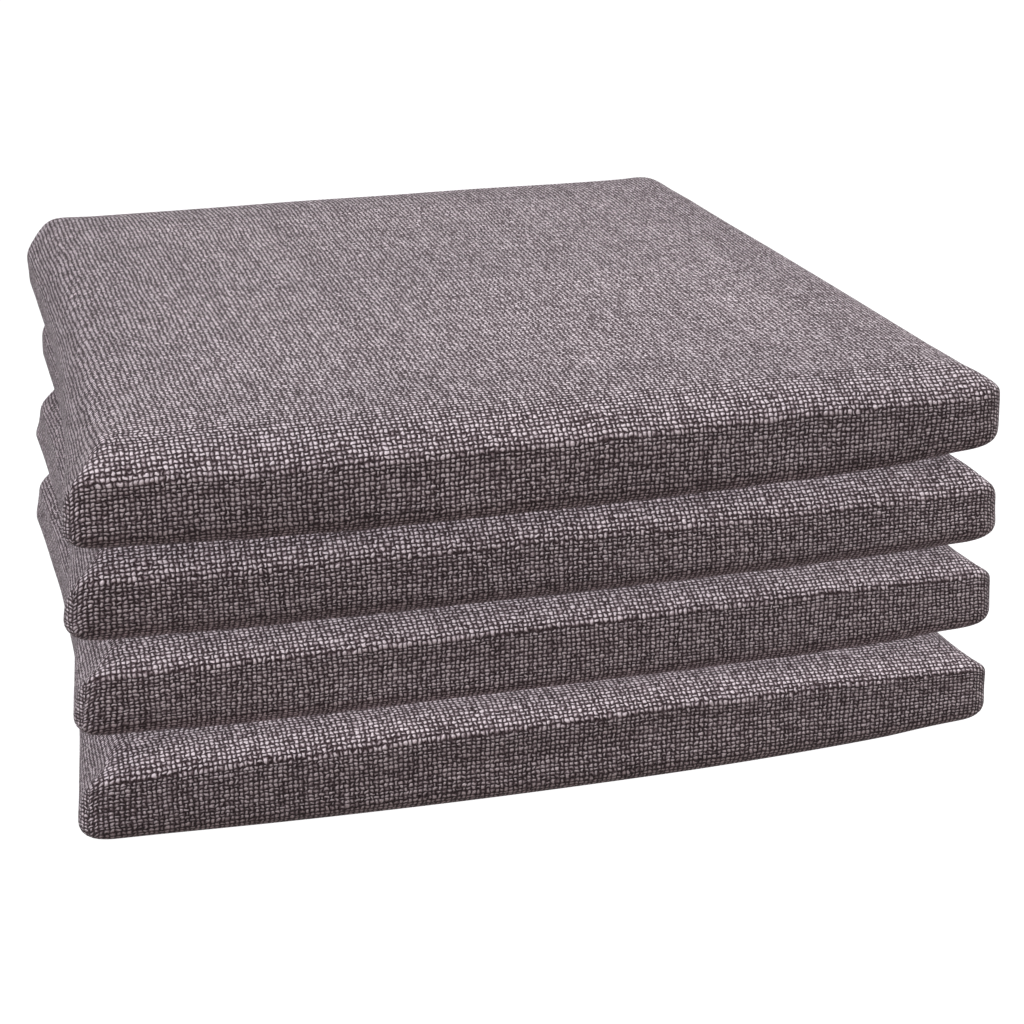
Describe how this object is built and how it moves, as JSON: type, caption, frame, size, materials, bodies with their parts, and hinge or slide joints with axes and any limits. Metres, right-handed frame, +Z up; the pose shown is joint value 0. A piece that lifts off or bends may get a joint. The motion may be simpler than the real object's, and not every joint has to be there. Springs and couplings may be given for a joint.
{
  "type": "chair seat pad stack",
  "caption": "Stack of tapered woven chair seat pads with rounded edges, each a foam core in a liner and a zipped cover with a non-slip base.",
  "frame": {"origin": "centre of the stack's footprint, on the surface it stands on", "axes": "+Z up, +X to the sitter's right, +Y to the back of the seat, where the pads are narrower and the zips are"},
  "size_m": [0.3992, 0.388, 0.1649],
  "materials": {
    "woven_cover": "coarse nubby weave, matt",
    "non_slip_base": "plain cloth with small grip dots",
    "foam": "open-cell foam",
    "liner_cloth": "thin non-woven cloth",
    "zip_tape": "fine woven tape",
    "zip_coil": "satin",
    "zip_metal": "nickel plated",
    "label_cloth": "smooth ribbon, blank"
  },
  "bodies": {
    "pad_1": {"pad_1_cover_top": "woven_cover", "pad_1_cover_base": "non_slip_base", "pad_1_foam_core": "foam", "pad_1_foam_liner": "liner_cloth", "pad_1_zip_tape_upper": "zip_tape", "pad_1_zip_tape_lower": "zip_tape", "pad_1_zip_coil_upper": "zip_coil", "pad_1_zip_coil_lower": "zip_coil", "pad_1_zip_stop_closed": "zip_metal", "pad_1_zip_stop_open": "zip_metal", "pad_1_care_label": "label_cloth"},
    "zip_slider_1": {"pad_1_zip_slider": "zip_metal"},
    "zip_pull_1": {"pad_1_zip_pull": "zip_metal"},
    "pad_2": {"pad_2_cover_top": "woven_cover", "pad_2_cover_base": "non_slip_base", "pad_2_foam_core": "foam", "pad_2_foam_liner": "liner_cloth", "pad_2_zip_tape_upper": "zip_tape", "pad_2_zip_tape_lower": "zip_tape", "pad_2_zip_coil_upper": "zip_coil", "pad_2_zip_coil_lower": "zip_coil", "pad_2_zip_stop_closed": "zip_metal", "pad_2_zip_stop_open": "zip_metal", "pad_2_care_label": "label_cloth"},
    "zip_slider_2": {"pad_2_zip_slider": "zip_metal"},
    "zip_pull_2": {"pad_2_zip_pull": "zip_metal"},
    "pad_3": {"pad_3_cover_top": "woven_cover", "pad_3_cover_base": "non_slip_base", "pad_3_foam_core": "foam", "pad_3_foam_liner": "liner_cloth", "pad_3_zip_tape_upper": "zip_tape", "pad_3_zip_tape_lower": "zip_tape", "pad_3_zip_coil_upper": "zip_coil", "pad_3_zip_coil_lower": "zip_coil", "pad_3_zip_stop_closed": "zip_metal", "pad_3_zip_stop_open": "zip_metal", "pad_3_care_label": "label_cloth"},
    "zip_slider_3": {"pad_3_zip_slider": "zip_metal"},
    "zip_pull_3": {"pad_3_zip_pull": "zip_metal"},
    "pad_4": {"pad_4_cover_top": "woven_cover", "pad_4_cover_base": "non_slip_base", "pad_4_foam_core": "foam", "pad_4_foam_liner": "liner_cloth", "pad_4_zip_tape_upper": "zip_tape", "pad_4_zip_tape_lower": "zip_tape", "pad_4_zip_coil_upper": "zip_coil", "pad_4_zip_coil_lower": "zip_coil", "pad_4_zip_stop_closed": "zip_metal", "pad_4_zip_stop_open": "zip_metal", "pad_4_care_label": "label_cloth"},
    "zip_slider_4": {"pad_4_zip_slider": "zip_metal"},
    "zip_pull_4": {"pad_4_zip_pull": "zip_metal"}
  },
  "joints": [
    {"name": "zip_1_slide", "type": "slide", "parent": "pad_1", "child": "zip_slider_1", "axis": [-1, 0, 0], "range_m": [0, 0.277]},
    {"name": "zip_1_pull_flip", "type": "hinge", "parent": "zip_slider_1", "child": "zip_pull_1", "pos_m": [0.13923, 0.18589, 0.02025], "axis": [0, 0, -1], "range_deg": [0, 165]},
    {"name": "pad_2_lift", "type": "slide", "parent": "pad_1", "child": "pad_2", "axis": [0, 0, 1], "range_m": [0, 0.12]},
    {"name": "zip_2_slide", "type": "slide", "parent": "pad_2", "child": "zip_slider_2", "axis": [-1, 0.0052, 0], "range_m": [0, 0.277]},
    {"name": "zip_2_pull_flip", "type": "hinge", "parent": "zip_slider_2", "child": "zip_pull_2", "pos_m": [0.14321, 0.19165, 0.06155], "axis": [0, 0, -1], "range_deg": [0, 165]},
    {"name": "pad_3_lift", "type": "slide", "parent": "pad_2", "child": "pad_3", "axis": [0, 0, 1], "range_m": [0, 0.12]},
    {"name": "zip_3_slide", "type": "slide", "parent": "pad_3", "child": "zip_slider_3", "axis": [-0.9999, 0.014, 0], "range_m": [0, 0.277]},
    {"name": "zip_3_pull_flip", "type": "hinge", "parent": "zip_slider_3", "child": "zip_pull_3", "pos_m": [0.14535, 0.18991, 0.10285], "axis": [0, 0, -1], "range_deg": [0, 165]},
    {"name": "pad_4_lift", "type": "slide", "parent": "pad_3", "child": "pad_4", "axis": [0, 0, 1], "range_m": [0, 0.12]},
    {"name": "zip_4_slide", "type": "slide", "parent": "pad_4", "child": "zip_slider_4", "axis": [-1, -0.0052, 0], "range_m": [0, 0.277]},
    {"name": "zip_4_pull_flip", "type": "hinge", "parent": "zip_slider_4", "child": "zip_pull_4", "pos_m": [0.13774, 0.19212, 0.14415], "axis": [0, 0, -1], "range_deg": [0, 165]}
  ]
}
